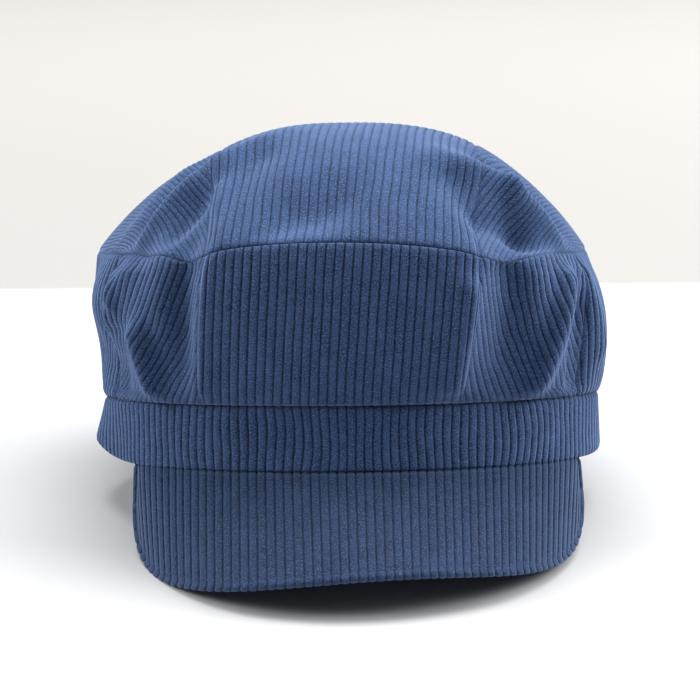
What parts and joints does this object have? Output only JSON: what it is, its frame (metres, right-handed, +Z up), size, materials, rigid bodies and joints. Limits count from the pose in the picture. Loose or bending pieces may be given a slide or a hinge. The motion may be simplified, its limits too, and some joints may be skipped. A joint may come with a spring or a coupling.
{
  "type": "baker boy hat",
  "caption": "Soft blue wide-wale corduroy baker boy hat with a gathered panelled crown, a headband and a down-turned peak.",
  "frame": {"origin": "the middle of the hat's box in plan, on the surface that it stands on", "axes": "+X to the viewer's right when the peak is seen from the front, +Y from the peak to the back, +Z up"},
  "size_m": [0.2232, 0.2364, 0.1649],
  "materials": {
    "wall_cloth": "matte corduroy",
    "tip_cloth": "matte corduroy",
    "band_cloth": "matte corduroy",
    "peak_cloth": "matte corduroy"
  },
  "bodies": {
    "root": {"wall_front": "wall_cloth", "wall_front_right": "wall_cloth", "wall_right": "wall_cloth", "wall_back_right": "wall_cloth", "wall_back": "wall_cloth", "wall_back_left": "wall_cloth", "wall_left": "wall_cloth", "wall_front_left": "wall_cloth", "tip_centre": "tip_cloth", "tip_left": "tip_cloth", "tip_right": "tip_cloth", "headband": "band_cloth", "peak": "peak_cloth"}
  },
  "joints": []
}
